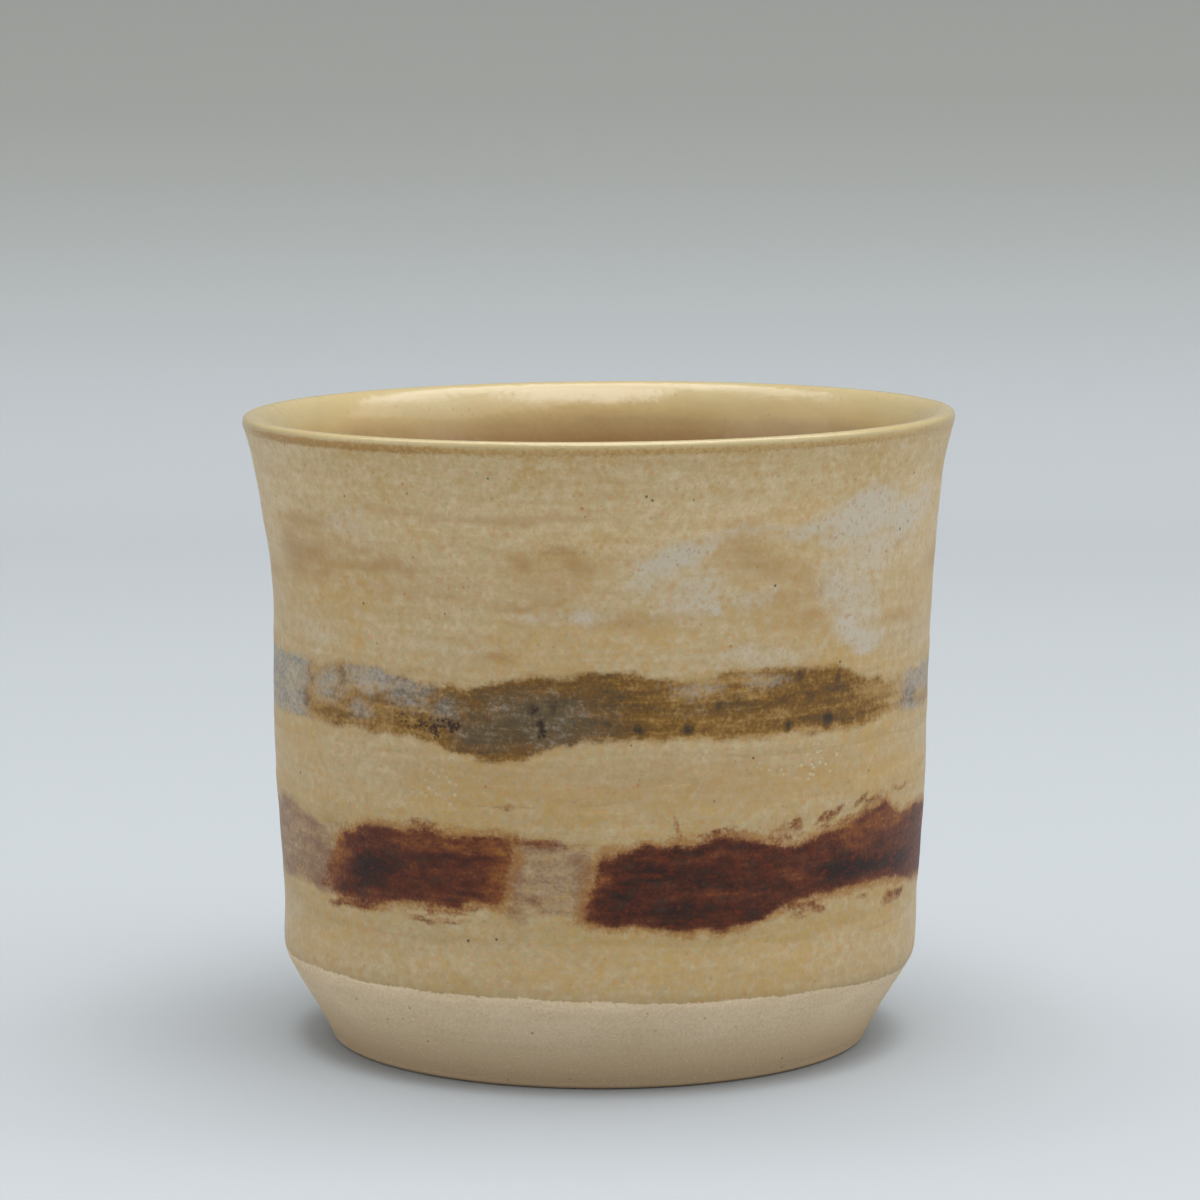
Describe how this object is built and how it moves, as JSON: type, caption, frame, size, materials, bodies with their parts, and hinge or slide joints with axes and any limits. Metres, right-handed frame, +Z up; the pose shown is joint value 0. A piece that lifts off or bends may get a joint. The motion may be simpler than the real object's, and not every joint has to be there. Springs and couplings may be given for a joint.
{
  "type": "espresso cup",
  "caption": "Handleless thrown stoneware espresso cup with a flared lip, glossy inside, bare bevelled foot and brushed iron and olive bands.",
  "frame": {"origin": "middle of the foot, on the plane that the cup stands on", "axes": "+Z up along the cup's axis; -Y towards the side with the bare patch between the two iron strokes, the side the picture shows"},
  "size_m": [0.0638, 0.0638, 0.0567],
  "materials": {
    "bare_clay": "unglazed fine-grogged stoneware, matt",
    "liner_glaze": "glossy honey glaze",
    "outer_glaze": "satin mottled tan glaze with specks",
    "iron_slip": "satin red-brown iron slip, brushed",
    "olive_slip": "satin olive-brown slip, brushed",
    "grey_slip": "satin thin grey slip, brushed"
  },
  "bodies": {
    "root": {"clay_body": "bare_clay", "liner_glaze": "liner_glaze", "outer_glaze": "outer_glaze", "iron_stroke_short": "iron_slip", "iron_stroke_long": "iron_slip", "olive_stroke": "olive_slip", "grey_stroke": "grey_slip"}
  },
  "joints": []
}
